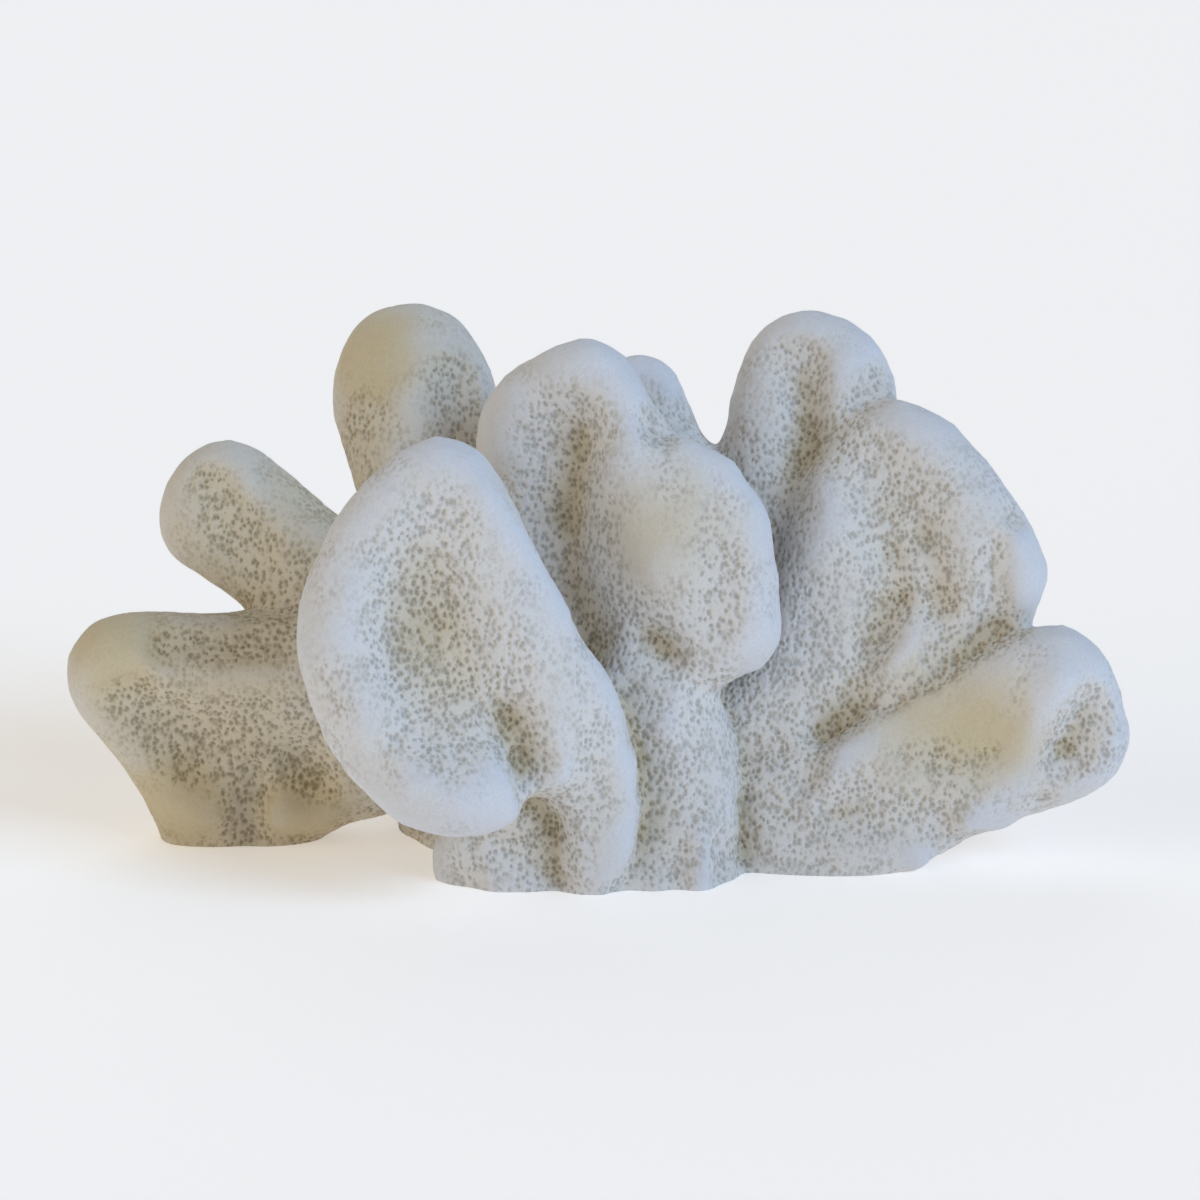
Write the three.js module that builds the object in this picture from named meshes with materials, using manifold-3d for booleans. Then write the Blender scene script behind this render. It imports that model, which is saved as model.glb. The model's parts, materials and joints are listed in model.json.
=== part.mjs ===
// A white branching stony coral with thick paddle-shaped lobes, cut off flat where it grew.
// Millimetres, +Z up, the broad show side faces -Y, and the part rests on z = 0.
// Each lobe is a thick curved sheet with a round rim. It is described by its outline as seen
// from the front, by the depth of its middle sheet, and by the folds that push the sheet about.
// The lobes grow out of a low foot, and each is its own solid above its fork.

import * as THREE from 'three';
import { LoftGeometry } from 'three/addons/geometries/LoftGeometry.js';
import { mergeVertices } from 'three/addons/utils/BufferGeometryUtils.js';
import Module from 'manifold-3d';

const wasm = await Module();
wasm.setup();

// Driving dimensions
const gap = 0.3; // left between two pieces that meet at a fork
const span = 400; // larger than the whole coral, for cutting with a half space
const rimPoints = 24; // points round each outline
const rimSteps = 4; // facets over the round rim, front to back
const faceRings = [0.4, 0.78]; // rings between a lobe's spine and its rim
const finest = 0.1; // details smaller than this are smoothed out of a cut solid
const white = { color: 0xd9d7cf, roughness: 0.92, metalness: 0 };

// outline: [x, z] points, clockwise from the top, out to the edge of the rim
// spine:   [x, z] ends of the line that the face rings close in on
// sheet:   y of the middle sheet at the spine's first end, and how it changes per millimetre
//          to the right (across) and upwards (up)
// folds:   [x, z, reach, push] moves the sheet, where a positive push is away from the front
// rim:     radius of the round rim; dish: share by which the middle is thinner than the rim
// fork:    a point on the cut and the direction in which the lobe grows away from it
// stalk:   a second paddle that carries the lobe down to the ground
const lobes = {
  front_left_lobe: {
    outline: [
      [-38, 112], [-28, 108.5], [-21, 98], [-13, 80], [-4, 62], [1, 48], [0, 36],
      [-9, 27], [-21, 20.5], [-35, 18.5], [-48, 23], [-61, 36], [-68.5, 50], [-71, 64],
      [-69, 78], [-62, 92], [-51, 105],
    ],
    spine: [[-32, 46], [-39, 84]],
    sheet: { y: -42, across: 0.1, up: 0.14 },
    folds: [[-46, 66, 17, 5], [-20, 50, 14, 3], [-38, 26, 14, -4], [-14, 40, 12, 3]],
    rim: 9.5,
    dish: 0.3,
    fork: { at: [-8, -30, 20], grows: [-0.25, -0.45, 0.85] },
    stalk: {
      outline: [
        [-8, 62], [0, 56], [5, 44], [9, 30], [8, 14], [4, -12], [-16, -14], [-31, -12],
        [-39, 4], [-36, 22], [-27, 42], [-17, 56],
      ],
      spine: [[-14, 6], [-9, 46]],
      sheet: { y: -26, across: -0.1, up: -0.12 },
      folds: [[-12, 28, 10, 5], [4, 26, 10, -3]],
      rim: 10,
      dish: 0.1,
    },
  },
  centre_lobe: {
    outline: [
      [-2, 129], [6, 126], [11, 118], [15, 108], [26, 101], [36, 97], [41, 88],
      [42, 72], [44, 60], [38, 50], [26, 46], [18, 34], [6, 24], [-10, 28], [-19, 50],
      [-26, 76], [-30, 98], [-29, 112], [-17, 123],
    ],
    spine: [[6, 52], [0, 104]],
    sheet: { y: -9, across: -0.3, up: 0.05 },
    folds: [[-9, 96, 15, 5], [-6, 66, 14, 5], [14, 76, 16, -5], [34, 90, 13, 2], [30, 56, 11, 2]],
    rim: 9.5,
    dish: 0.15,
    fork: { at: [10, -12, 24], grows: [0.1, -0.35, 1] },
    stalk: {
      outline: [
        [12, 60], [22, 56], [29, 42], [33, 24], [34, 6], [30, -14], [6, -15], [-4, -2],
        [-8, 20], [-6, 42], [2, 56],
      ],
      spine: [[14, 4], [12, 38]],
      sheet: { y: -22, across: 0.05, up: 0.24 },
      folds: [[34, 12, 11, 3]],
      rim: 11,
      dish: 0,
    },
  },
  back_centre_lobe: {
    outline: [
      [9, 119], [16, 117.5], [21, 110], [26, 101], [32, 94], [36, 82], [34, 60], [22, 46],
      [4, 52], [-4, 74], [-8, 94], [-3, 111],
    ],
    spine: [[14, 66], [8, 100]],
    sheet: { y: 12, across: 0.08, up: 0.32 },
    folds: [[8, 100, 14, 2]],
    rim: 9,
    dish: 0.1,
    fork: { at: [12, 26, 40], grows: [0, 0.3, 1] },
    stalk: {
      outline: [
        [14, 82], [22, 76], [26, 56], [26, 20], [22, -12], [4, -12], [-5, 2], [-4, 30],
        [0, 60], [6, 77],
      ],
      spine: [[10, 10], [13, 60]],
      sheet: { y: 32, across: 0.15, up: -0.22 },
      folds: [[10, 40, 16, -2]],
      rim: 10,
      dish: 0,
    },
  },
  back_right_lobe: {
    outline: [
      [54, 130.5], [66, 125.5], [73, 115], [73, 105], [68, 94], [66, 76], [58, 56], [42, 52],
      [32, 62], [30, 80], [31.5, 98], [34, 114], [42, 127],
    ],
    spine: [[47, 70], [53, 110]],
    sheet: { y: 11, across: -0.12, up: 0.3 },
    folds: [[50, 112, 11, 4], [53, 92, 11, 2]],
    rim: 9,
    dish: 0.1,
    fork: { at: [44, 24, 38], grows: [0.1, 0.3, 1] },
    stalk: {
      outline: [
        [50, 84], [59, 76], [63, 56], [60, 34], [58, 10], [54, -12], [34, -12], [26, 0],
        [26, 30], [31, 60], [40, 80],
      ],
      spine: [[42, 12], [48, 60]],
      sheet: { y: 26, across: -0.25, up: -0.12 },
      folds: [[44, 30, 16, -2]],
      rim: 11,
      dish: 0,
    },
  },
  right_lobe: {
    outline: [
      [73, 112.5], [84, 108.5], [94, 99], [102, 88], [109, 77], [110, 67], [103, 57],
      [90, 46], [74, 36], [58, 26], [44, 14], [38, -2], [30, -14], [12, -12], [10, 4],
      [17, 22], [29, 38], [39, 54], [43, 70], [47, 84], [54, 97], [63, 107.5],
    ],
    spine: [[34, 20], [76, 88]],
    sheet: { y: -5, across: -0.2, up: 0.25 },
    folds: [[70, 68, 14, 5], [93, 62, 11, 4], [86, 80, 10, -3], [57, 76, 13, -3], [50, 40, 13, 3]],
    rim: 9,
    dish: 0.15,
    fork: { at: [44, -6, 32], grows: [0.5, -0.1, 0.86] },
  },
  low_right_lobe: {
    outline: [
      [113, 61.5], [121, 56.5], [126, 46], [129.5, 35], [126, 20.5], [115, 15.5], [101, 12],
      [88, 5], [74, 0], [58, -10], [36, -8], [32, 16], [44, 28], [60, 36], [78, 46],
      [98, 57],
    ],
    spine: [[52, 14], [106, 40]],
    sheet: { y: -12, across: -0.06, up: 0.06 },
    folds: [[84, 28, 14, 2], [114, 29, 10, 4], [112, 50, 10, -2], [70, 8, 12, -2]],
    rim: 9.5,
    dish: 0.1,
    fork: { at: [60, -10, 20], grows: [1, -0.1, 0.25] },
  },
  low_left_lobe: {
    outline: [
      [-104, 60], [-88, 59.5], [-70, 60], [-52, 54], [-38, 36], [-38, 14], [-50, 8],
      [-62, 5], [-78, -4], [-94, -6], [-108, -4], [-115, 12], [-122, 25], [-131.5, 40],
      [-130, 54], [-119, 61],
    ],
    spine: [[-60, 32], [-112, 38]],
    sheet: { y: 3, across: 0.02, up: -0.22 },
    folds: [[-92, 34, 16, 3]],
    rim: 11,
    dish: 0.1,
    fork: { at: [-70, 2, 30], grows: [-1, 0, 0.12] },
  },
  back_left_finger: {
    outline: [
      [-93, 99.5], [-82, 94.5], [-68, 83], [-52, 72], [-44, 50], [-56, 38], [-74, 44],
      [-88, 57], [-97, 64], [-107.5, 69], [-111, 79], [-105, 93],
    ],
    spine: [[-62, 56], [-92, 79]],
    sheet: { y: 10, across: -0.28, up: 0.05 },
    folds: [],
    rim: 12,
    dish: 0,
    fork: { at: [-60, 12, 52], grows: [-0.75, 0.2, 0.65] },
  },
  back_left_lobe: {
    outline: [
      [-47, 131.5], [-35, 127], [-28, 117], [-24.5, 102], [-22, 80], [-20, 50], [-36, 34],
      [-52, 40], [-57, 62], [-59, 82], [-65, 98], [-67, 112], [-61, 126.5],
    ],
    spine: [[-40, 60], [-46, 108]],
    sheet: { y: 10, across: 0.1, up: 0.42 },
    folds: [[-42, 112, 11, -2]],
    rim: 11,
    dish: 0,
    fork: { at: [-36, 20, 34], grows: [-0.2, 0.25, 0.95] },
    stalk: {
      outline: [
        [-40, 74], [-30, 68], [-23, 48], [-19, 24], [-14, -10], [-30, -12], [-44, -8],
        [-50, 18], [-56, 44], [-51, 66],
      ],
      spine: [[-33, 10], [-40, 52]],
      sheet: { y: 22, across: 0.15, up: -0.14 },
      folds: [],
      rim: 11,
      dish: 0,
    },
  },
};

// The foot's core is a few overlapping mounds: [centre], [radii]
const mounds = [
  [[12, 6, 0], [58, 26, 34]],
  [[28, 12, 10], [38, 24, 42]],
  [[-28, 16, 10], [24, 18, 38]],
];

// The sheet's y at a place seen from the front
function sheetDepth({ spine, sheet, folds }, x, z) {
  const plain = sheet.y + sheet.across * (x - spine[0][0]) + sheet.up * (z - spine[0][1]);
  return folds.reduce((y, [fx, fz, reach, push]) => {
    const away = ((x - fx) ** 2 + (z - fz) ** 2) / reach ** 2;
    return y + push * Math.exp(-away);
  }, plain);
}

// A point on the sheet, and the direction square to the sheet that looks to the front
function onSheet(lobe, x, z) {
  const step = 0.5;
  const slopeX = (sheetDepth(lobe, x + step, z) - sheetDepth(lobe, x - step, z)) / (2 * step);
  const slopeZ = (sheetDepth(lobe, x, z + step) - sheetDepth(lobe, x, z - step)) / (2 * step);
  return {
    point: new THREE.Vector3(x, sheetDepth(lobe, x, z), z),
    facing: new THREE.Vector3(slopeX, -1, slopeZ).normalize(),
  };
}

// The rim's centre line: the outline drawn in by the rim's radius, with the way out of it
function rimLine({ outline, rim }) {
  const corners = outline.map(([x, z]) => new THREE.Vector3(x, 0, z));
  const curve = new THREE.CatmullRomCurve3(corners, true, 'centripetal');
  return Array.from({ length: rimPoints }, (_, i) => {
    const along = curve.getTangentAt(i / rimPoints);
    const outward = new THREE.Vector3(-along.z, 0, along.x);
    const middle = curve.getPointAt(i / rimPoints).addScaledVector(outward, -rim);
    return { x: middle.x, z: middle.z, outward };
  });
}

function nearestOnSpine([[ax, az], [bx, bz]], x, z) {
  const [dx, dz] = [bx - ax, bz - az];
  const share = THREE.MathUtils.clamp(((x - ax) * dx + (z - az) * dz) / (dx * dx + dz * dz), 0, 1);
  return [ax + share * dx, az + share * dz];
}

// The lobe's surface as rings: from the middle of the front, over the rim, to the middle of the back
function lobeGeometry(lobe, extra = 0) {
  const line = rimLine(lobe);
  const thickness = (share) => lobe.rim * (1 - lobe.dish * (1 - share ** 2)) + extra;
  const faceRing = (share, side) => line.map(({ x, z }) => {
    const [sx, sz] = nearestOnSpine(lobe.spine, x, z);
    const { point, facing } = onSheet(lobe, sx + share * (x - sx), sz + share * (z - sz));
    return point.addScaledVector(facing, side * thickness(share));
  });
  const rimRing = (turn) => line.map(({ x, z, outward }) => {
    const { point, facing } = onSheet(lobe, x, z);
    const out = outward.clone().addScaledVector(facing, -outward.dot(facing)).normalize();
    const reach = lobe.rim + extra;
    return point
      .addScaledVector(facing, reach * Math.cos(turn))
      .addScaledVector(out, reach * Math.sin(turn));
  });
  const pole = (side) => {
    const [[ax, az], [bx, bz]] = lobe.spine;
    const { point, facing } = onSheet(lobe, (ax + bx) / 2, (az + bz) / 2);
    return line.map(() => point.clone().addScaledVector(facing, side * thickness(0)));
  };
  const overRim = Array.from({ length: rimSteps + 1 }, (_, i) => rimRing((i / rimSteps) * Math.PI));
  return new LoftGeometry([
    pole(1),
    ...faceRings.map((share) => faceRing(share, 1)),
    ...overRim,
    ...faceRings.toReversed().map((share) => faceRing(share, -1)),
    pole(-1),
  ]);
}

// A closed geometry as a solid that can be joined and cut. Faces with no area, such as those
// round a pole, are dropped, and a geometry that faces inwards is turned.
function solidOf(geometry) {
  const bare = new THREE.BufferGeometry();
  bare.setAttribute('position', geometry.getAttribute('position'));
  bare.setIndex(geometry.index);
  const merged = mergeVertices(bare, 1e-4);
  const corners = merged.index.array;
  const faces = [];
  for (let i = 0; i < corners.length; i += 3) {
    const [a, b, c] = corners.slice(i, i + 3);
    if (a !== b && b !== c && c !== a) faces.push([a, b, c]);
  }
  const vertProperties = merged.attributes.position.array;
  const made = (triVerts) => new wasm.Manifold(
    new wasm.Mesh({ numProp: 3, vertProperties, triVerts: new Uint32Array(triVerts) }),
  );
  const solid = made(faces.flat());
  return solid.volume() > 0 ? solid : made(faces.flatMap(([a, b, c]) => [a, c, b]));
}

function geometryOf(solid) {
  const { vertProperties, triVerts } = solid.getMesh();
  const geometry = new THREE.BufferGeometry();
  geometry.setAttribute('position', new THREE.BufferAttribute(vertProperties, 3));
  geometry.setIndex(new THREE.BufferAttribute(triVerts, 1));
  geometry.computeVertexNormals();
  return geometry;
}

// Everything on the growing side of a fork, starting a little beyond it
function beyondFork({ at, grows }, beyond) {
  const direction = new THREE.Vector3(...grows).normalize();
  const block = new THREE.BoxGeometry(span, span, span);
  block.translate(0, 0, span / 2 + beyond);
  block.applyQuaternion(new THREE.Quaternion().setFromUnitVectors(new THREE.Vector3(0, 0, 1), direction));
  block.translate(...at);
  return solidOf(block);
}

function moundSolid([centre, radii]) {
  const mound = new THREE.SphereGeometry(1, 20, 10);
  mound.rotateX(Math.PI / 2);
  mound.scale(...radii);
  mound.translate(...centre);
  return solidOf(mound);
}

function groundBlock() {
  const block = new THREE.BoxGeometry(span, span, span);
  block.translate(0, 0, -span / 2);
  return solidOf(block);
}

function wholeLobe(lobe, extra) {
  const paddle = solidOf(lobeGeometry(lobe, extra));
  return lobe.stalk ? paddle.add(solidOf(lobeGeometry(lobe.stalk, extra))) : paddle;
}

const largest = (solid) => solid.decompose().sort((a, b) => b.volume() - a.volume())[0];

// The lobes are cut at their forks first, and the foot keeps what is below
const solids = {};
let foot = wasm.Manifold.union(mounds.map(moundSolid));
for (const lobe of Object.values(lobes)) foot = foot.add(wholeLobe(lobe, 0));

let taken = groundBlock();
for (const [name, lobe] of Object.entries(lobes)) {
  const above = wholeLobe(lobe, 0).intersect(beyondFork(lobe.fork, gap / 2));
  solids[name] = largest(above.subtract(taken));
  const grown = wholeLobe(lobe, gap).intersect(beyondFork(lobe.fork, -gap / 2));
  taken = wasm.Manifold.union([taken, grown, above]);
}
solids.foot = largest(foot.subtract(taken));

const coral = new THREE.Group();
for (const [name, solid] of Object.entries(solids)) {
  const shape = geometryOf(solid.simplify(finest));
  const mesh = new THREE.Mesh(shape, new THREE.MeshStandardMaterial(white));
  mesh.name = name;
  coral.add(mesh);
}

// The origin is at the middle of the coral's box, on the ground
const box = new THREE.Box3().setFromObject(coral);
const middle = box.getCenter(new THREE.Vector3());
coral.position.set(-middle.x, -middle.y, 0);

export default coral;
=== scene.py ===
import json
import math
import time

import bpy
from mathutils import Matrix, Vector

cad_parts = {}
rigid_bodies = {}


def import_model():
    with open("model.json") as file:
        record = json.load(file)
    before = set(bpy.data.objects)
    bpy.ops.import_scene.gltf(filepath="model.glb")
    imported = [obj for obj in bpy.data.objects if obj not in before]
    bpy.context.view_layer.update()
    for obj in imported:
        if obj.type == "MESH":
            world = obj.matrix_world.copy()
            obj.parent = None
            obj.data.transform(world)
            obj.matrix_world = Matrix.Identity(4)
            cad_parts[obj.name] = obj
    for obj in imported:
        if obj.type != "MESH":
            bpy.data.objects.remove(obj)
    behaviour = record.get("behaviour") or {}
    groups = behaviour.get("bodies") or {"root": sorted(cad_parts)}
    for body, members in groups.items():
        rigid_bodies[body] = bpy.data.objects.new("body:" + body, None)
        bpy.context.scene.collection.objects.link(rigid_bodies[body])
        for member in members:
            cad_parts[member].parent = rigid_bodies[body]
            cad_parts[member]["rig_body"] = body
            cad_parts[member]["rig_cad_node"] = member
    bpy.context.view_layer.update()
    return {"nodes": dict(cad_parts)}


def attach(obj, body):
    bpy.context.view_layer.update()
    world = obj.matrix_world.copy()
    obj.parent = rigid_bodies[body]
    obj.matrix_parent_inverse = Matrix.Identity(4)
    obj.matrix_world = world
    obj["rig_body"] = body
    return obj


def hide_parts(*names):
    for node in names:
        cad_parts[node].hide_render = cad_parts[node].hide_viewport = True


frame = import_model()
mm = 0.001
started = time.time()


def report(stage):
    print(f"{stage}: {time.time() - started:.0f} s")


def only(*pieces):
    # selects these pieces and nothing else
    bpy.ops.object.select_all(action="DESELECT")
    for piece in pieces:
        piece.select_set(True)
    bpy.context.view_layer.objects.active = pieces[0]


def node(tree, kind, links=None, **settings):
    # adds a node, sets it up and fills its sockets with values or links
    made = tree.nodes.new(kind)
    for name, value in settings.items():
        setattr(made, name, value)
    for key, value in (links or {}).items():
        socket = made.inputs[key]
        if isinstance(value, bpy.types.NodeSocket):
            tree.links.new(value, socket)
        else:
            socket.default_value = value
    return made


def applied(piece, kind, **settings):
    # adds a modifier and applies it at once
    only(piece)
    modifier = piece.modifiers.new(kind.title(), kind)
    for name, value in settings.items():
        setattr(modifier, name, value)
    bpy.ops.object.modifier_apply(modifier=modifier.name)


def newGroup(name):
    # an empty geometry node group with one geometry going in and one coming out
    tree = bpy.data.node_groups.new(name, "GeometryNodeTree")
    tree.interface.new_socket("Geometry", in_out="INPUT", socket_type="NodeSocketGeometry")
    tree.interface.new_socket("Geometry", in_out="OUTPUT", socket_type="NodeSocketGeometry")
    return tree


# the solids are grown together into one body, then rounded

form = {
    "swell": 0.25 * mm,   # closes the gaps at the forks
    "sunk": 9 * mm,       # how far the cut foot is carried on below the ground before rounding
    "voxel": 1.8 * mm,
    "rounding": 34,       # smoothing passes
    "fullness": 1.0 * mm, # given back all over after rounding
}


def copyOf(cadNode):
    only(cadNode)
    bpy.ops.object.duplicate()
    copy = bpy.context.active_object
    bpy.ops.object.parent_clear(type="CLEAR_KEEP_TRANSFORM")
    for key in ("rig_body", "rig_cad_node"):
        del copy[key]
    return copy


def sinkCut(copy):
    # carries the flat cut down below the ground, so that rounding leaves its edge crisp
    only(copy)
    bpy.ops.object.mode_set(mode="EDIT")
    bpy.ops.mesh.select_all(action="SELECT")
    bpy.ops.mesh.remove_doubles(threshold=0.001 * mm)
    bpy.ops.mesh.select_all(action="DESELECT")
    bpy.ops.object.mode_set(mode="OBJECT")
    below = [face for face in copy.data.polygons if face.center.z < 0.05 * mm]
    for face in below:
        face.select = True
    if below:
        bpy.ops.object.mode_set(mode="EDIT")
        bpy.ops.mesh.extrude_region_move(TRANSFORM_OT_translate={"value": (0, 0, -form["sunk"])})
        bpy.ops.object.mode_set(mode="OBJECT")


def dropBubbles(whole):
    # the gaps at the forks leave small closed bubbles inside: only what hangs together with the top
    # is kept
    highest = max(whole.data.vertices, key=lambda vertex: vertex.co.z).index
    only(whole)
    bpy.ops.object.mode_set(mode="EDIT")
    bpy.ops.mesh.select_all(action="DESELECT")
    bpy.ops.object.mode_set(mode="OBJECT")
    whole.data.vertices[highest].select = True
    bpy.ops.object.mode_set(mode="EDIT")
    bpy.ops.mesh.select_linked()
    bpy.ops.mesh.select_all(action="INVERT")
    bpy.ops.mesh.delete(type="VERT")
    bpy.ops.object.mode_set(mode="OBJECT")


def grownTogether():
    copies = [copyOf(cadNode) for cadNode in frame["nodes"].values()]
    for copy in copies:
        sinkCut(copy)
    only(*copies)
    bpy.ops.object.join()
    whole = bpy.context.active_object
    whole.name = "whole_coral"
    applied(whole, "DISPLACE", strength=form["swell"], mid_level=0)
    applied(whole, "REMESH", mode="VOXEL", voxel_size=form["voxel"], use_smooth_shade=True)
    dropBubbles(whole)
    applied(whole, "SMOOTH", factor=0.5, iterations=form["rounding"])
    applied(whole, "DISPLACE", strength=form["fullness"], mid_level=0)
    return whole


def labelLobes(whole):
    # each face belongs to the lobe whose solid is nearest, and its material is named for that lobe
    whole.data.materials.clear()
    nodes = list(frame["nodes"].items())
    for name, cadNode in nodes:
        whole.data.materials.append(bpy.data.materials.new(name))
    for face in whole.data.polygons:
        reaches = []
        for name, cadNode in nodes:
            found, place, normal, index = cadNode.closest_point_on_mesh(face.center)
            reaches.append((place - face.center).length)
        face.material_index = reaches.index(min(reaches))
    beside = {}
    for face in whole.data.polygons:
        for edge in face.edge_keys:
            beside.setdefault(edge, []).append(face)
    # a face caught between others goes to the lobe of most of them, which leaves no islands
    for turn in range(4):
        for face in whole.data.polygons:
            near = [other.material_index for edge in face.edge_keys for other in beside[edge]
                    if other.index != face.index]
            commonest = max(sorted(set(near)), key=near.count)
            if near.count(commonest) > 2:
                face.material_index = commonest


whole = grownTogether()
labelLobes(whole)
report(f"grown together, {len(whole.data.polygons)} faces")


# hollows and ridges: each stroke is a reach, a depth (negative stands out) and its points, all in mm

strokes = {
    "front_left_lobe": [
        (17, 2.0, [(-42, -38, 98), (-45, -38, 85), (-40, -37, 70), (-35, -38, 58)]),
        (8, 0.7, [(-40, -38, 88), (-38, -37, 72)]),
        (8, -1.4, [(-53, -41, 80), (-57, -43, 66), (-52, -46, 50)]),
        (7, -1.6, [(-27, -34, 98), (-18, -33, 82), (-8, -32, 68), (0, -31, 56)]),
        (8, -3.0, [(1, -30, 56), (4, -30, 46), (6, -31, 34), (7, -30, 22), (6, -29, 12), (5, -28, 4)]),
        (7, 4.6, [(-20, -40, 47), (-17, -40, 40), (-15, -40, 33)]),
        (7, 4.8, [(-15, -40, 34), (-14, -38, 27), (-13, -34, 20)]),
        (6, 3.4, [(-11, -32, 16), (-10, -29, 8), (-10, -28, 3)]),
        (9, -1.8, [(-42, -49, 36), (-30, -49, 31), (-23, -46, 36)]),
        (7, 2.0, [(-28, -30, 12), (-18, -28, 8)]),
    ],
    "centre_lobe": [
        (10, 2.8, [(-5, -4, 110), (-5, -3, 101), (-8, -2, 86), (-6, -4, 72), (-1, -8, 58)]),
        (5, 1.2, [(-4, -3, 105), (-4, -3, 95), (-7, -2, 84)]),
        (8, -1.4, [(-20, 2, 114), (-22, 1, 104)]),
        (11, -2.4, [(-9, 0, 125), (0, -2, 125)]),
        (7, -1.4, [(7, -4, 118), (10, -9, 110)]),
        (6, 3.0, [(14, -6, 111), (15, -6, 108)]),
        (7, -2.6, [(24, -7, 104), (31, -8, 102)]),
        (12, -1.8, [(8, -10, 98), (12, -13, 88), (18, -16, 77)]),
        (6, -1.4, [(39, -9, 90), (43, -12, 76), (43, -13, 62)]),
        (8, 1.8, [(30, -13, 88), (31, -15, 76), (30, -16, 66)]),
        (6, 3.2, [(14, -14, 59), (19, -15, 56)]),
        (6, -2.6, [(43, -12, 58), (42, -12, 54)]),
        (4, -1.5, [(20, -16, 46), (15, -20, 32), (10, -24, 19)]),
        (5, 1.8, [(10, -16, 46), (7, -20, 36)]),
    ],
    "right_lobe": [
        (13, 2.4, [(64, 4, 98), (72, 1, 88), (79, 1, 83)]),
        (6, 3.2, [(72, -1, 76), (72, -1, 67), (69, -3, 56), (65, -5, 47), (56, -5, 34)]),
        (5, 2.2, [(80, 0, 82), (83, -2, 73), (85, -3, 64)]),
        (5, 2.0, [(97, -5, 80), (98, -6, 69), (96, -6, 61)]),
        (7, -1.4, [(102, -6, 80), (104, -6, 71)]),
        (5, 1.8, [(102, -2, 87)]),
        (8, -1.2, [(58, 6, 92), (58, 2, 78), (60, -2, 66)]),
    ],
    "low_right_lobe": [
        (9, -1.6, [(124, -12, 36), (119, -12, 27)]),
        (5, -2.0, [(78, -14, 4)]),
        (5, 2.0, [(90, -13, 8)]),
        (5, -1.8, [(100, -14, 12)]),
        (5, 1.6, [(109, -13, 18)]),
        (5, 2.8, [(103, -2, 60), (91, -6, 56), (73, -8, 45), (57, -7, 33), (52, -13, 24)]),
        (12, 1.4, [(88, -14, 43), (78, -13, 37)]),
        (5, -1.4, [(74, -14, 26), (84, -14, 23), (93, -15, 25)]),
        (7, -2.4, [(110, -18, 50), (107, -16, 36), (100, -16, 22), (92, -16, 15)]),
        (9, 3.0, [(119, -14, 41), (115, -13, 30)]),
        (6, 2.0, [(60, -15, 15), (74, -17, 12), (84, -16, 12)]),
    ],
    "low_left_lobe": [
        (6, 2.2, [(-104, -2, 54), (-90, -2, 54), (-76, 0, 53)]),
        (11, 2.0, [(-117, -5, 42), (-107, -2, 34), (-99, 0, 28)]),
        (8, 3.2, [(-74, 2, 24), (-70, 2, 18)]),
        (7, -1.8, [(-104, 2, 14), (-95, 2, 10)]),
        (7, -1.8, [(-78, 3, 10), (-68, 3, 9)]),
        (5, 2.6, [(-85, 0, 20), (-86, 3, 11), (-86, 3, 4)]),
    ],
    "back_left_finger": [
        (9, 2.4, [(-95, 17, 90), (-90, 14, 82), (-84, 12, 74)]),
    ],
    "back_left_lobe": [
        (12, -2.4, [(-45, 28, 122), (-45, 24, 111), (-46, 21, 99)]),
        (8, 2.0, [(-36, 27, 113), (-34, 25, 103)]),
        (9, 0.8, [(-57, 27, 112), (-54, 23, 101)]),
    ],
    "back_centre_lobe": [
        (8, 2.0, [(14, 27, 114), (21, 28, 107), (29, 28, 99)]),
        (8, -2.6, [(7, 28, 123), (13, 28, 120), (19, 28, 114)]),
    ],
    "back_right_lobe": [
        (8, 2.0, [(49, 25, 121), (52, 24, 110), (51, 19, 98)]),
        (5, -1.4, [(61, 24, 120), (61, 22, 108)]),
        (5, 1.6, [(68, 25, 117), (67, 22, 106)]),
    ],
    "foot": [
        (5, 3.6, [(14, -26, 34), (14, -26, 25), (13, -27, 16), (10, -27, 8), (7, -28, 2)]),
        (5, -2.2, [(-40, -18, 7), (-41, -17, 2)]),
        (6, 2.0, [(-31, -27, 6), (-31, -27, 1)]),
        (5, 1.8, [(20, -24, 6), (20, -24, 1)]),
        (6, -1.6, [(26, -22, 12), (25, -23, 3)]),
        (5, 3.0, [(36, -12, 16), (36, -12, 5)]),
        (5, 2.2, [(29, -21, 9), (30, -22, 3)]),
        (7, 1.6, [(48, -10, 28), (46, -10, 16)]),
    ],
    "behind": [
        (9, 2.4, [(52, 42, 116), (50, 44, 102), (48, 46, 88)]),
        (6, 2.0, [(30, 50, 74), (30, 52, 58), (29, 52, 40)]),
        (9, 2.2, [(19, 48, 112), (17, 49, 98), (14, 50, 84)]),
        (10, 2.4, [(-45, 48, 118), (-43, 48, 102), (-40, 48, 86)]),
        (7, -1.4, [(-52, 46, 106), (-48, 46, 90)]),
        (9, 2.0, [(-94, 34, 90), (-84, 32, 80)]),
        (12, 2.6, [(84, 20, 92), (80, 20, 78), (74, 20, 64)]),
        (7, -1.2, [(92, 16, 84), (88, 16, 70)]),
        (10, 2.2, [(104, 6, 44), (92, 8, 36)]),
        (12, 2.4, [(-106, 18, 42), (-94, 18, 30)]),
        (6, 2.6, [(44, 52, 34), (43, 52, 18), (42, 52, 4)]),
        (7, 2.4, [(2, 52, 50), (1, 54, 30), (2, 54, 12)]),
        (7, 2.2, [(-22, 50, 44), (-24, 50, 24), (-25, 50, 6)]),
        (6, 2.2, [(-48, 36, 34), (-50, 34, 18)]),
    ],
}

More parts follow.
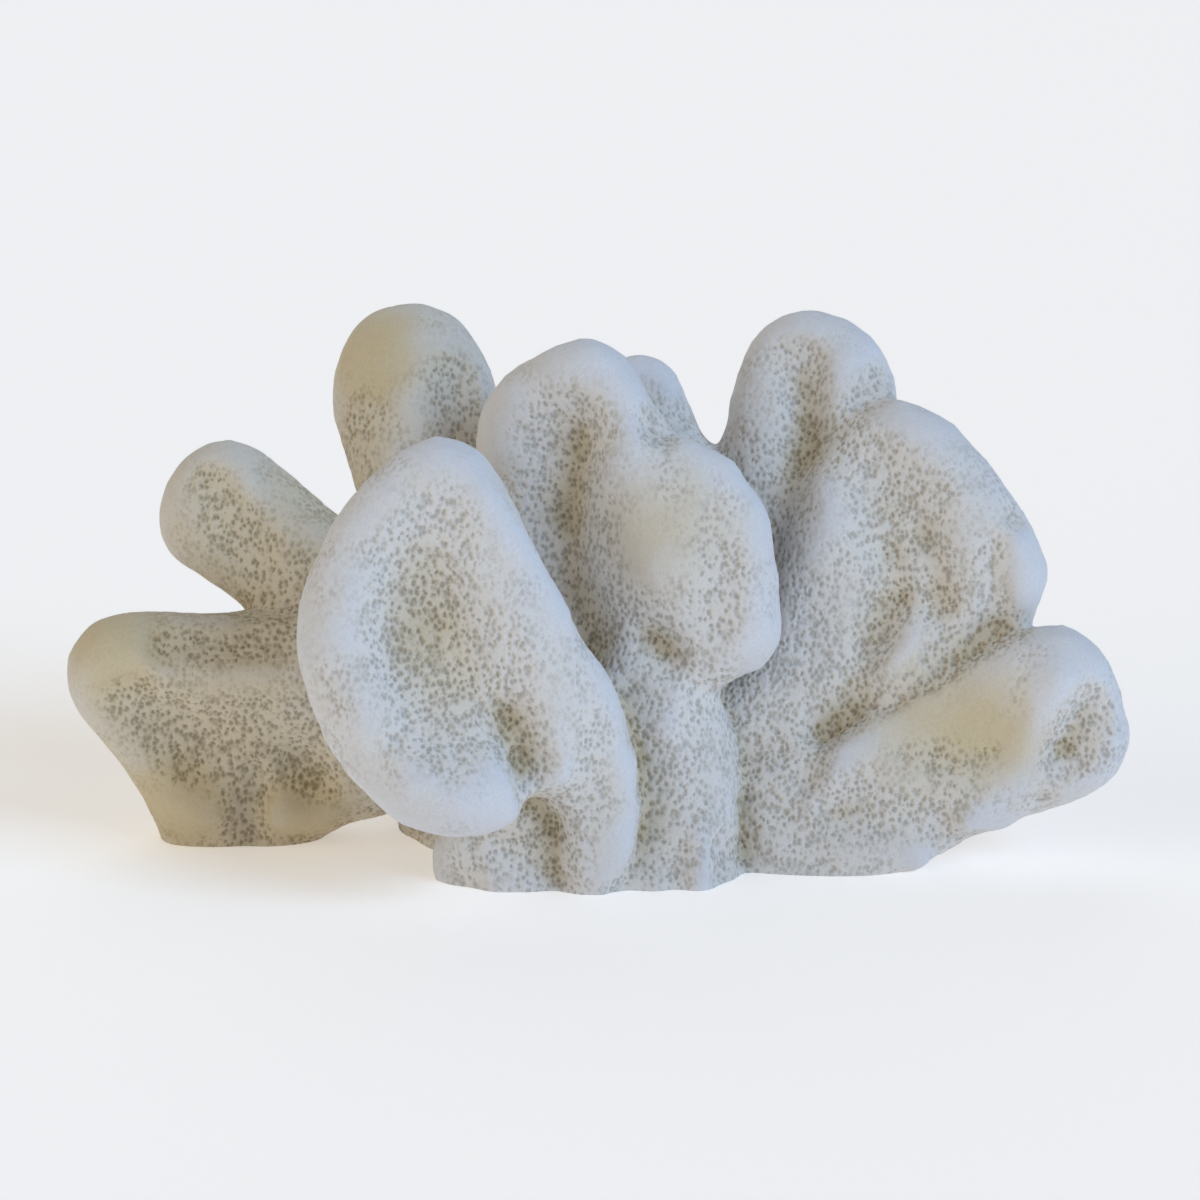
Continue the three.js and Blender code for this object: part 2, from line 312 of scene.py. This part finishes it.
# places smoothed before and after the strokes: each a reach in mm, a number of passes and its points
softened = {
    "before": [
        (9, 60, [(-6, -37, 40), (-4, -36, 33), (-2, -34, 26)]),
        (8, 40, [(8, -30, 32), (9, -29, 24), (10, -28, 15)]),
        (7, 30, [(78, -4, 58), (80, -5, 53)]),
    ],
    "after": [
        (9, 22, [(-4, -31, 62), (0, -31, 57), (4, -31, 50), (5, -31, 43)]),
        (8, 18, [(39, -9, 90), (43, -12, 82), (44, -12, 74), (44, -12, 66), (43, -13, 58)]),
    ],
}

texture = {
    "lumps": (17 * mm, 1.5 * mm),   # size and height
    "knobs": (6.5 * mm, 0.5 * mm),
    "settle": 3,                    # smoothing passes after the strokes
}


def press(reach, push, points):
    # pulls a band of the surface in or out along a line
    chosen = set()
    away = Vector()
    for start, end in zip(points, points[1:] + points[-1:]):
        start = Vector(start) * mm
        end = Vector(end) * mm
        steps = max(1, round((end - start).length / (1.5 * mm)))
        for step in range(steps):
            found, place, normal, index = whole.closest_point_on_mesh(start.lerp(end, step / steps))
            chosen.add(index)
            away += normal
    only(whole)
    bpy.ops.object.mode_set(mode="EDIT")
    bpy.ops.mesh.select_all(action="DESELECT")
    bpy.ops.object.mode_set(mode="OBJECT")
    for index in chosen:
        whole.data.polygons[index].select = True
    bpy.ops.object.mode_set(mode="EDIT")
    bpy.ops.transform.translate(value=away.normalized() * (-push * mm), use_proportional_edit=True,
                                use_proportional_connected=True, proportional_edit_falloff="SMOOTH",
                                proportional_size=reach * mm)
    bpy.ops.object.mode_set(mode="OBJECT")


def soften(reach, passes, points):
    # smooths the surface around a line
    near = []
    for vertex in whole.data.vertices:
        gaps = [(vertex.co - Vector(point) * mm).length for point in points]
        if min(gaps) < reach * mm:
            near.append(vertex.index)
    only(whole)
    bpy.ops.object.mode_set(mode="EDIT")
    bpy.ops.mesh.select_all(action="DESELECT")
    bpy.ops.object.mode_set(mode="OBJECT")
    for index in near:
        whole.data.vertices[index].select = True
    bpy.ops.object.mode_set(mode="EDIT")
    bpy.ops.mesh.vertices_smooth(factor=0.5, repeat=passes)
    bpy.ops.object.mode_set(mode="OBJECT")


for reach, passes, points in softened["before"]:
    soften(reach, passes, points)
for lines in strokes.values():
    for reach, push, points in lines:
        press(reach, push, points)
for reach, passes, points in softened["after"]:
    soften(reach, passes, points)
applied(whole, "SMOOTH", factor=0.5, iterations=texture["settle"])
for name in ("lumps", "knobs"):
    clouds = bpy.data.textures.new(name, "CLOUDS")
    clouds.noise_scale = texture[name][0]
    clouds.noise_depth = 1
    applied(whole, "DISPLACE", texture=clouds, texture_coords="LOCAL", strength=texture[name][1],
            mid_level=0.5)
report("hollows and ridges")


# masks: how far each place stands out from, or lies below, the surface around it, in mm
masks = {
    "rim": 26,      # blurring passes that the surface is compared with
    "recess": 130,
    "even": 3,      # passes that even out the result
    "calm": 5,      # passes over the direction that pores are sunk along
}

# places with fewer pores and more painted warm shade, or the reverse if negative: a point in mm, its reach
# and how much
wornSpotsAndShade = [
    ((82, -14, 38), 28, 1.3),
    ((98, -16, 36), 20, 1.2),
    ((16, -15, 86), 22, 1.0),
    ((-104, 2, 12), 18, 1.1),
    ((-72, 3, 10), 16, 1.1),
    ((-118, -3, 56), 20, 1.1),
    ((-55, 27, 122), 20, 1.1),
    ((123, -13, 33), 15, -1.8),
    ((-30, -36, 58), 22, -0.6),
    ((-8, -28, 10), 14, -0.8),
    ((22, -22, 8), 18, -0.8),
]


def shapeMasks():
    tree = newGroup("shape masks")
    ends = [node(tree, "NodeGroupInput"), node(tree, "NodeGroupOutput")]
    place = node(tree, "GeometryNodeInputPosition").outputs[0]
    normal = node(tree, "GeometryNodeInputNormal").outputs[0]
    geometry = ends[0].outputs[0]
    for name in ("rim", "recess"):
        around = node(tree, "GeometryNodeBlurAttribute", {"Value": place, "Iterations": masks[name]},
                      data_type="FLOAT_VECTOR")
        offset = node(tree, "ShaderNodeVectorMath", {0: place, 1: around.outputs[0]}, operation="SUBTRACT")
        height = node(tree, "ShaderNodeVectorMath", {0: offset.outputs[0], 1: normal},
                      operation="DOT_PRODUCT")
        scaled = node(tree, "ShaderNodeMath", {0: height.outputs["Value"], 1: 1 / mm}, operation="MULTIPLY")
        even = node(tree, "GeometryNodeBlurAttribute",
                    {"Value": scaled.outputs[0], "Iterations": masks["even"]})
        kept = node(tree, "GeometryNodeStoreNamedAttribute",
                    {"Geometry": geometry, "Name": name, "Value": even.outputs[0]})
        geometry = kept.outputs[0]
    wornSmoothAndShade = 0.0
    for spot, reach, amount in wornSpotsAndShade:
        away = node(tree, "ShaderNodeVectorMath", {0: place, 1: Vector(spot) * mm}, operation="DISTANCE")
        near = node(tree, "ShaderNodeMapRange",
                    {"Value": away.outputs["Value"], "From Min": reach * mm, "From Max": 0.0, "To Min": 0.0,
                     "To Max": amount}, interpolation_type="SMOOTHSTEP")
        wornSmoothAndShade = node(tree, "ShaderNodeMath", {0: wornSmoothAndShade, 1: near.outputs[0]}, operation="ADD").outputs[0]
    kept = node(tree, "GeometryNodeStoreNamedAttribute",
                {"Geometry": geometry, "Name": "wornSmoothAndShade", "Value": wornSmoothAndShade})
    geometry = kept.outputs[0]
    calm = node(tree, "GeometryNodeBlurAttribute", {"Value": normal, "Iterations": masks["calm"]},
                data_type="FLOAT_VECTOR")
    outward = node(tree, "ShaderNodeVectorMath", {0: calm.outputs[0]}, operation="NORMALIZE")
    kept = node(tree, "GeometryNodeStoreNamedAttribute",
                {"Geometry": geometry, "Name": "outward", "Value": outward.outputs[0]},
                data_type="FLOAT_VECTOR")
    tree.links.new(kept.outputs[0], ends[1].inputs[0])
    return tree


applied(whole, "NODES", node_group=shapeMasks())
applied(whole, "SUBSURF", levels=1, render_levels=1)
report(f"masks, {len(whole.data.polygons)} faces")


# pores: a three-dimensional foam of cells, opened wherever the surface runs through it
pores = {
    "cell": 1.2 * mm,      # from one pore to the next
    "upright": 0.72,       # below 1 the pores are taller than wide
    "waver": 0.6 * mm,     # how far their outlines stray from round
    "wander": 1.3 * mm,    # size of the wavering
    "width": (0.36, 0.64), # of the cell, least and most
    "depth": 0.45 * mm,
    "walls": 0.12 * mm,    # the mesh of walls between them stands out by this
    "patches": 11 * mm,    # size of the patches where they are fresher or more worn
    "wornFrom": 1.5,       # how far out, in mm, a place starts to be worn smooth
    "wornTo": 3.0,
    "aboveCut": (0.5 * mm, 1.6 * mm),  # they start and are full at these heights
    "turnIn": 1.6 * mm,    # how far the edges at the forks are turned in
    "mostTriangles": 196000,
}


def poreOpening(tree, rest):
    # 1 in the middle of a pore and 0 on the wall; the same nodes serve the mesh and the paint
    waver = node(tree, "ShaderNodeTexNoise", {"Vector": rest, "Scale": 1 / pores["wander"], "Detail": 1.0})
    centred = node(tree, "ShaderNodeVectorMath", {0: waver.outputs["Color"], 1: (0.5, 0.5, 0.5)},
                   operation="SUBTRACT")
    strayed = node(tree, "ShaderNodeVectorMath",
                   {0: centred.outputs[0], 1: (2 * pores["waver"],) * 3, 2: rest}, operation="MULTIPLY_ADD")
    squat = node(tree, "ShaderNodeVectorMath", {0: strayed.outputs[0], 1: (1, 1, pores["upright"])},
                 operation="MULTIPLY")
    cells = node(tree, "ShaderNodeTexVoronoi", {"Vector": squat.outputs[0], "Scale": 1 / pores["cell"]})
    varied = node(tree, "ShaderNodeTexNoise", {"Vector": rest, "Scale": 1 / (4 * mm), "Detail": 1.0})
    width = node(tree, "ShaderNodeMapRange",
                 {"Value": varied.outputs[0], "From Min": 0.3, "From Max": 0.7, "To Min": pores["width"][0],
                  "To Max": pores["width"][1]})
    ratio = node(tree, "ShaderNodeMath", {0: cells.outputs["Distance"], 1: width.outputs[0]},
                 operation="DIVIDE")
    opening = node(tree, "ShaderNodeMapRange",
                   {"Value": ratio.outputs[0], "From Min": 1.4, "From Max": 0.2, "To Min": 0.0,
                    "To Max": 1.0}, interpolation_type="SMOOTHSTEP")
    return opening.outputs[0]


def poreGroup():
    tree = newGroup("pores")
    ends = [node(tree, "NodeGroupInput"), node(tree, "NodeGroupOutput")]
    place = node(tree, "GeometryNodeInputPosition").outputs[0]
    rim = node(tree, "GeometryNodeInputNamedAttribute", {"Name": "rim"}).outputs[0]
    wornSmoothAndShade = node(tree, "GeometryNodeInputNamedAttribute", {"Name": "wornSmoothAndShade"}).outputs[0]
    recess = node(tree, "GeometryNodeInputNamedAttribute", {"Name": "recess"}).outputs[0]
    outward = node(tree, "GeometryNodeInputNamedAttribute", {"Name": "outward"},
                   data_type="FLOAT_VECTOR").outputs[0]
    # pores are fresh on the flat faces and in the hollows, and worn away on the rims
    patches = node(tree, "ShaderNodeTexNoise",
                   {"Vector": place, "Scale": 1 / pores["patches"], "Detail": 2.0})
    shifted = node(tree, "ShaderNodeMath", {0: patches.outputs[0], 1: 2.4, 2: rim},
                   operation="MULTIPLY_ADD")
    total = node(tree, "ShaderNodeMath", {0: shifted.outputs[0], 1: wornSmoothAndShade}, operation="ADD")
    fresh = node(tree, "ShaderNodeMapRange",
                 {"Value": total.outputs[0], "From Min": pores["wornFrom"], "From Max": pores["wornTo"],
                  "To Min": 1.0, "To Max": 0.08}, interpolation_type="SMOOTHSTEP")
    pit = node(tree, "ShaderNodeMath", {0: poreOpening(tree, place), 1: fresh.outputs[0]},
               operation="MULTIPLY")
    # deeper in the hollows, and none at the cut
    deep = node(tree, "ShaderNodeMapRange",
                {"Value": recess, "From Min": 1.5, "From Max": -3.5, "To Min": pores["depth"],
                 "To Max": 1.4 * pores["depth"]})
    wall = node(tree, "ShaderNodeMath", {0: fresh.outputs[0], 1: -pores["walls"]}, operation="MULTIPLY")
    sunk = node(tree, "ShaderNodeMath", {0: pit.outputs[0], 1: deep.outputs[0], 2: wall.outputs[0]},
                operation="MULTIPLY_ADD")
    height = node(tree, "ShaderNodeSeparateXYZ", {0: place})
    aboveCut = node(tree, "ShaderNodeMapRange",
                    {"Value": height.outputs["Z"], "From Min": pores["aboveCut"][0],
                     "From Max": pores["aboveCut"][1], "To Min": 0.0, "To Max": -1.0})
    push = node(tree, "ShaderNodeMath", {0: sunk.outputs[0], 1: aboveCut.outputs[0]}, operation="MULTIPLY")
    offset = node(tree, "ShaderNodeVectorMath", {0: outward, "Scale": push.outputs[0]}, operation="SCALE")
    kept = node(tree, "GeometryNodeStoreNamedAttribute",
                {"Geometry": ends[0].outputs[0], "Name": "rest", "Value": place}, data_type="FLOAT_VECTOR")
    kept = node(tree, "GeometryNodeStoreNamedAttribute",
                {"Geometry": kept.outputs[0], "Name": "fresh", "Value": fresh.outputs[0]})
    moved = node(tree, "GeometryNodeSetPosition",
                 {"Geometry": kept.outputs[0], "Offset": offset.outputs[0]})
    tree.links.new(moved.outputs[0], ends[1].inputs[0])
    return tree


def turnedIn():
    # turns the open edge at a fork inwards, so that the face closing it lies under the surface
    tree = newGroup("turned in")
    ends = [node(tree, "NodeGroupInput"), node(tree, "NodeGroupOutput")]
    outward = node(tree, "GeometryNodeInputNamedAttribute", {"Name": "outward"},
                   data_type="FLOAT_VECTOR").outputs[0]
    beside = node(tree, "GeometryNodeInputMeshEdgeNeighbors")
    atEdge = node(tree, "FunctionNodeCompare", {2: beside.outputs[0], 3: 1}, data_type="INT",
                  operation="EQUAL")
    turned = node(tree, "GeometryNodeExtrudeMesh",
                  {"Mesh": ends[0].outputs[0], "Selection": atEdge.outputs[0], "Offset": outward,
                   "Offset Scale": -pores["turnIn"]}, mode="EDGES")
    tree.links.new(turned.outputs[0], ends[1].inputs[0])
    return tree


def closed(piece):
    # closes the broken faces at the forks, then cuts the foot off flat at the ground
    only(piece)
    bpy.ops.object.mode_set(mode="EDIT")
    bpy.ops.mesh.select_mode(type="EDGE")
    bpy.ops.mesh.select_all(action="DESELECT")
    bpy.ops.mesh.select_non_manifold()
    bpy.ops.mesh.mark_sharp()
    bpy.ops.object.mode_set(mode="OBJECT")
    applied(piece, "NODES", node_group=turnedIn())
    bpy.ops.object.mode_set(mode="EDIT")
    bpy.ops.mesh.select_all(action="SELECT")
    bpy.ops.mesh.fill_holes(sides=0)
    bpy.ops.mesh.select_all(action="SELECT")
    bpy.ops.mesh.bisect(plane_co=(0, 0, 0), plane_no=(0, 0, 1), use_fill=True, clear_inner=True,
                        threshold=0.001 * mm)
    bpy.ops.mesh.region_to_loop()
    bpy.ops.mesh.mark_sharp()
    bpy.ops.mesh.select_mode(type="FACE")
    bpy.ops.mesh.select_all(action="DESELECT")
    bpy.ops.mesh.select_face_by_sides(number=4, type="GREATER")
    bpy.ops.mesh.quads_convert_to_tris(ngon_method="BEAUTY")
    bpy.ops.mesh.select_all(action="SELECT")
    bpy.ops.mesh.normals_make_consistent(inside=False)
    bpy.ops.mesh.select_mode(type="VERT")
    bpy.ops.object.mode_set(mode="OBJECT")


def unwrapped(piece):
    piece.data.uv_layers.new(name="OFBake")
    only(piece)
    bpy.ops.object.mode_set(mode="EDIT")
    bpy.ops.mesh.select_all(action="SELECT")
    bpy.ops.uv.smart_project(angle_limit=math.radians(66), island_margin=0.004)
    bpy.ops.object.mode_set(mode="OBJECT")


def thinned(piece, part):
    # leaves out some of the triangles behind, where nobody looks closely
    hidden = piece.vertex_groups.new(name="behind")
    hidden.add([v.index for v in piece.data.vertices if v.co.y > 12 * mm], 1, "ADD")
    applied(piece, "DECIMATE", ratio=part, vertex_group="behind")
    piece.vertex_groups.clear()


poreTree = poreGroup()
only(whole)
bpy.ops.mesh.separate(type="MATERIAL")
lobes = list(bpy.context.selected_objects)
report(f"{len(lobes)} lobes")
for lobe in lobes:
    name = lobe.data.materials[0].name
    closed(lobe)
    unwrapped(lobe)
    applied(lobe, "SUBSURF", subdivision_type="SIMPLE", levels=1, render_levels=1)
    applied(lobe, "NODES", node_group=poreTree)
    lobe.name = "coral_" + name
    lobe.data.materials.clear()
    triangles = sum(len(face.vertices) - 2 for face in lobe.data.polygons)
    if triangles > pores["mostTriangles"]:
        thinned(lobe, pores["mostTriangles"] / triangles)
    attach(lobe, "root")
    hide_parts(name)
    report(f"{lobe.name}, {sum(len(face.vertices) - 2 for face in lobe.data.polygons)} triangles")


def linear(hexColour):
    # a hex sRGB colour as linear values
    shades = [int(hexColour[at:at + 2], 16) / 255 for at in (0, 2, 4)]
    return tuple(s / 12.92 if s <= 0.04045 else ((s + 0.055) / 1.055) ** 2.4 for s in shades) + (1,)


paint = {
    "bone": linear("DEDCDA"),
    # rims worn smooth, with a painted cool highlight
    "wornRimHighlight": linear("DBDDE3"),
    # painted shade inside the pores, deeper and warmer under the painted warm shade
    "poreShade": linear("B8B5AF"),
    "deepPoreShade": linear("9B8B68"),
    # painted warm shade, for the hollows, creases, left and back side and spots worn smooth
    "warmShade": linear("D1C3A4"),
    "roughness": 0.88,
    "specular": 0.25,
    "shadePatches": 24 * mm,
    "shadedSideEdge": (52 * mm, 118 * mm),  # where the painted shade of the left and back side starts and is full
    "shadedFootBand": (2 * mm, 42 * mm),        # height of the painted shade at the foot, darker towards the ground
    "grain": 0.45 * mm,               # sugary crystals, drawn coarse enough to show
    "relief": 0.12 * mm,
}


def coralSkeleton():
    # aragonite skeleton, grown, bleached and air-dried: chalky, with painted shade in the pores, hollows
    # and creases and on the shaded side
    stone = bpy.data.materials.new("bleached aragonite coral skeleton")
    stone.use_nodes = True
    tree = stone.node_tree
    shader = tree.nodes["Principled BSDF"]
    shader.inputs["Roughness"].default_value = paint["roughness"]
    shader.inputs["Specular IOR Level"].default_value = paint["specular"]
    place = node(tree, "ShaderNodeTexCoord").outputs["Object"]
    rest = node(tree, "ShaderNodeAttribute", attribute_name="rest").outputs["Vector"]
    fresh = node(tree, "ShaderNodeAttribute", attribute_name="fresh").outputs["Fac"]
    rim = node(tree, "ShaderNodeAttribute", attribute_name="rim").outputs["Fac"]
    recess = node(tree, "ShaderNodeAttribute", attribute_name="recess").outputs["Fac"]
    # painted warm shade in the hollows, where the light reaches least, in patches a few centimetres wide
    patches = node(tree, "ShaderNodeTexNoise",
                   {"Vector": place, "Scale": 1 / paint["shadePatches"], "Detail": 4.0})
    lower = node(tree, "ShaderNodeMath", {0: patches.outputs[0], 1: -5.0, 2: recess},
                 operation="MULTIPLY_ADD")
    recessShade = node(tree, "ShaderNodeMapRange",
                   {"Value": lower.outputs[0], "From Min": -1.5, "From Max": -7.0, "To Min": 0.0,
                    "To Max": 0.85}, interpolation_type="SMOOTHSTEP")
    # painted warm shade on the left and back, which face away from the window light, and on the spots worn
    # smooth
    where = node(tree, "ShaderNodeVectorMath", {0: place, 1: (-1, 1.2, 0)}, operation="DOT_PRODUCT")
    uneven = node(tree, "ShaderNodeMath", {0: patches.outputs[0], 1: 60 * mm, 2: where.outputs["Value"]},
                  operation="MULTIPLY_ADD")
    leftSideShade = node(tree, "ShaderNodeMapRange",
                    {"Value": uneven.outputs[0], "From Min": paint["shadedSideEdge"][0],
                     "From Max": paint["shadedSideEdge"][1], "To Min": 0.0, "To Max": 0.7},
                    interpolation_type="SMOOTHSTEP")
    wornSmoothAndShade = node(tree, "ShaderNodeAttribute", attribute_name="wornSmoothAndShade").outputs["Fac"]
    paintedWarmShade = node(tree, "ShaderNodeMath", {0: wornSmoothAndShade, 1: 0.6, 2: leftSideShade.outputs[0]},
                    operation="MULTIPLY_ADD")
    # painted shade in the narrow creases, and darker towards the ground at the foot
    creaseShade = node(tree, "ShaderNodeMapRange",
                  {"Value": rim, "From Min": -0.3, "From Max": -1.7, "To Min": 0.0, "To Max": 0.8},
                  interpolation_type="SMOOTHSTEP")
    deepestShade = node(tree, "ShaderNodeMath", {0: creaseShade.outputs[0], 1: recessShade.outputs[0]},
                   operation="MAXIMUM")
    # the painted warm shade is the strongest of these masks
    warmShade = node(tree, "ShaderNodeMath", {0: paintedWarmShade.outputs[0], 1: deepestShade.outputs[0]},
                 operation="MAXIMUM", use_clamp=True)
    height = node(tree, "ShaderNodeSeparateXYZ", {0: place})
    lowShade = node(tree, "ShaderNodeMapRange",
                 {"Value": height.outputs["Z"], "From Min": paint["shadedFootBand"][0], "From Max": paint["shadedFootBand"][1],
                  "To Min": 0.88, "To Max": 1.0})
    paintedShadeDim = node(tree, "ShaderNodeMath", {0: creaseShade.outputs[0], 1: -0.15, 2: lowShade.outputs[0]},
               operation="MULTIPLY_ADD")
    # painted cool highlight on the worn smooth rims, left out where the painted warm shade lies
    wornRimLit = node(tree, "ShaderNodeMapRange",
                    {"Value": rim, "From Min": 0.7, "From Max": 1.7, "To Min": 0.0, "To Max": 1.0},
                    interpolation_type="SMOOTHSTEP")
    ground = node(tree, "ShaderNodeMix",
                  {"Factor": warmShade.outputs[0], 6: paint["bone"], 7: paint["warmShade"]}, data_type="RGBA")
    outOfShade = node(tree, "ShaderNodeMath", {0: paintedWarmShade.outputs[0], 1: -0.8, 2: 1.0},
                   operation="MULTIPLY_ADD", use_clamp=True)
    pale = node(tree, "ShaderNodeMath", {0: wornRimLit.outputs[0], 1: outOfShade.outputs[0]},
                operation="MULTIPLY")
    surface = node(tree, "ShaderNodeMix",
                   {"Factor": pale.outputs[0], 6: ground.outputs[2], 7: paint["wornRimHighlight"]},
                   data_type="RGBA")
    # painted shade inside the pores, deeper and warmer where the painted warm shade lies
    poreShadeColour = node(tree, "ShaderNodeMix",
                {"Factor": warmShade.outputs[0], 6: paint["poreShade"], 7: paint["deepPoreShade"]}, data_type="RGBA")
    pit = node(tree, "ShaderNodeMath", {0: poreOpening(tree, rest), 1: fresh}, operation="MULTIPLY")
    mixed = node(tree, "ShaderNodeMix",
                 {"Factor": pit.outputs[0], 6: surface.outputs[2], 7: poreShadeColour.outputs[2]}, data_type="RGBA")
    grain = node(tree, "ShaderNodeTexNoise", {"Vector": place, "Scale": 1 / paint["grain"], "Detail": 3.0})
    speckle = node(tree, "ShaderNodeMapRange",
                   {"Value": grain.outputs[0], "From Min": 0.3, "From Max": 0.7, "To Min": 0.93,
                    "To Max": 1.03})
    tone = node(tree, "ShaderNodeMath", {0: speckle.outputs[0], 1: paintedShadeDim.outputs[0]}, operation="MULTIPLY")
    toned = node(tree, "ShaderNodeVectorMath", {0: mixed.outputs[2], "Scale": tone.outputs[0]},
                 operation="SCALE")
    relief = node(tree, "ShaderNodeMath", {0: pit.outputs[0], 1: -0.8, 2: grain.outputs[0]},
                  operation="MULTIPLY_ADD")
    bumps = node(tree, "ShaderNodeBump",
                 {"Height": relief.outputs[0], "Strength": 0.6, "Distance": paint["relief"]})
    tree.links.new(toned.outputs[0], shader.inputs["Base Color"])
    tree.links.new(bumps.outputs[0], shader.inputs["Normal"])
    return stone


stone = coralSkeleton()
for lobe in lobes:
    lobe.data.materials.append(stone)


# stage, light and camera
view = {
    "aim": Vector((1.3, 6.4, 63.4)) * mm,
    "distance": 820 * mm,
    "elevation": math.radians(15),
    "lens": 100,
    "floor": 6,
    "floorGlow": 0.34,  # keeps the matt white floor as pale as the room
    "skyPower": 0.26,
}

# name, place, spread in degrees, power and colour
lights = [
    ("window", (0.66, -0.45, 0.55), 30, 1.6, (0.5, 0.71, 1)),
    ("behind", (-0.2, 0.8, 0.75), 60, 0.5, (0.9, 0.95, 1)),
    ("lamp", (-0.85, -0.5, 0.42), 60, 0.75, (1, 0.83, 0.56)),
]


def setCamera():
    bpy.ops.object.camera_add()
    camera = bpy.context.active_object
    away = Vector((0, -math.cos(view["elevation"]), math.sin(view["elevation"])))
    camera.location = view["aim"] + away * view["distance"]
    camera.rotation_euler = (math.pi / 2 - view["elevation"], 0, 0)
    camera.data.lens = view["lens"]
    camera.data.sensor_width = 36
    camera.data.clip_start = 0.01
    bpy.context.scene.camera = camera


def sunLight(name, place, spread, power, colour):
    bpy.ops.object.light_add(type="SUN", location=place)
    light = bpy.context.active_object
    light.name = name
    light.data.angle = math.radians(spread)
    light.data.energy = power
    light.data.color = colour
    light.rotation_euler = (view["aim"] - light.location).to_track_quat("-Z", "Y").to_euler()


def setStage():
    bpy.ops.mesh.primitive_plane_add(size=view["floor"])
    floor = bpy.context.active_object
    floor.name = "floor"
    matt = bpy.data.materials.new("matt white floor")
    matt.use_nodes = True
    shader = matt.node_tree.nodes["Principled BSDF"]
    shader.inputs["Base Color"].default_value = (0.9, 0.9, 0.9, 1)
    shader.inputs["Roughness"].default_value = 0.9
    shader.inputs["Emission Color"].default_value = (1, 0.94, 0.88, 1)
    shader.inputs["Emission Strength"].default_value = view["floorGlow"]
    floor.data.materials.append(matt)
    world = bpy.data.worlds.new("pale room")
    bpy.context.scene.world = world
    world.use_nodes = True
    sky = world.node_tree.nodes["Background"]
    sky.inputs["Color"].default_value = (1, 0.98, 0.94, 1)
    sky.inputs["Strength"].default_value = view["skyPower"]
    for light in lights:
        sunLight(*light)
    bpy.context.scene.view_settings.view_transform = "Standard"


setStage()
setCamera()
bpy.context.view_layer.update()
report("done")
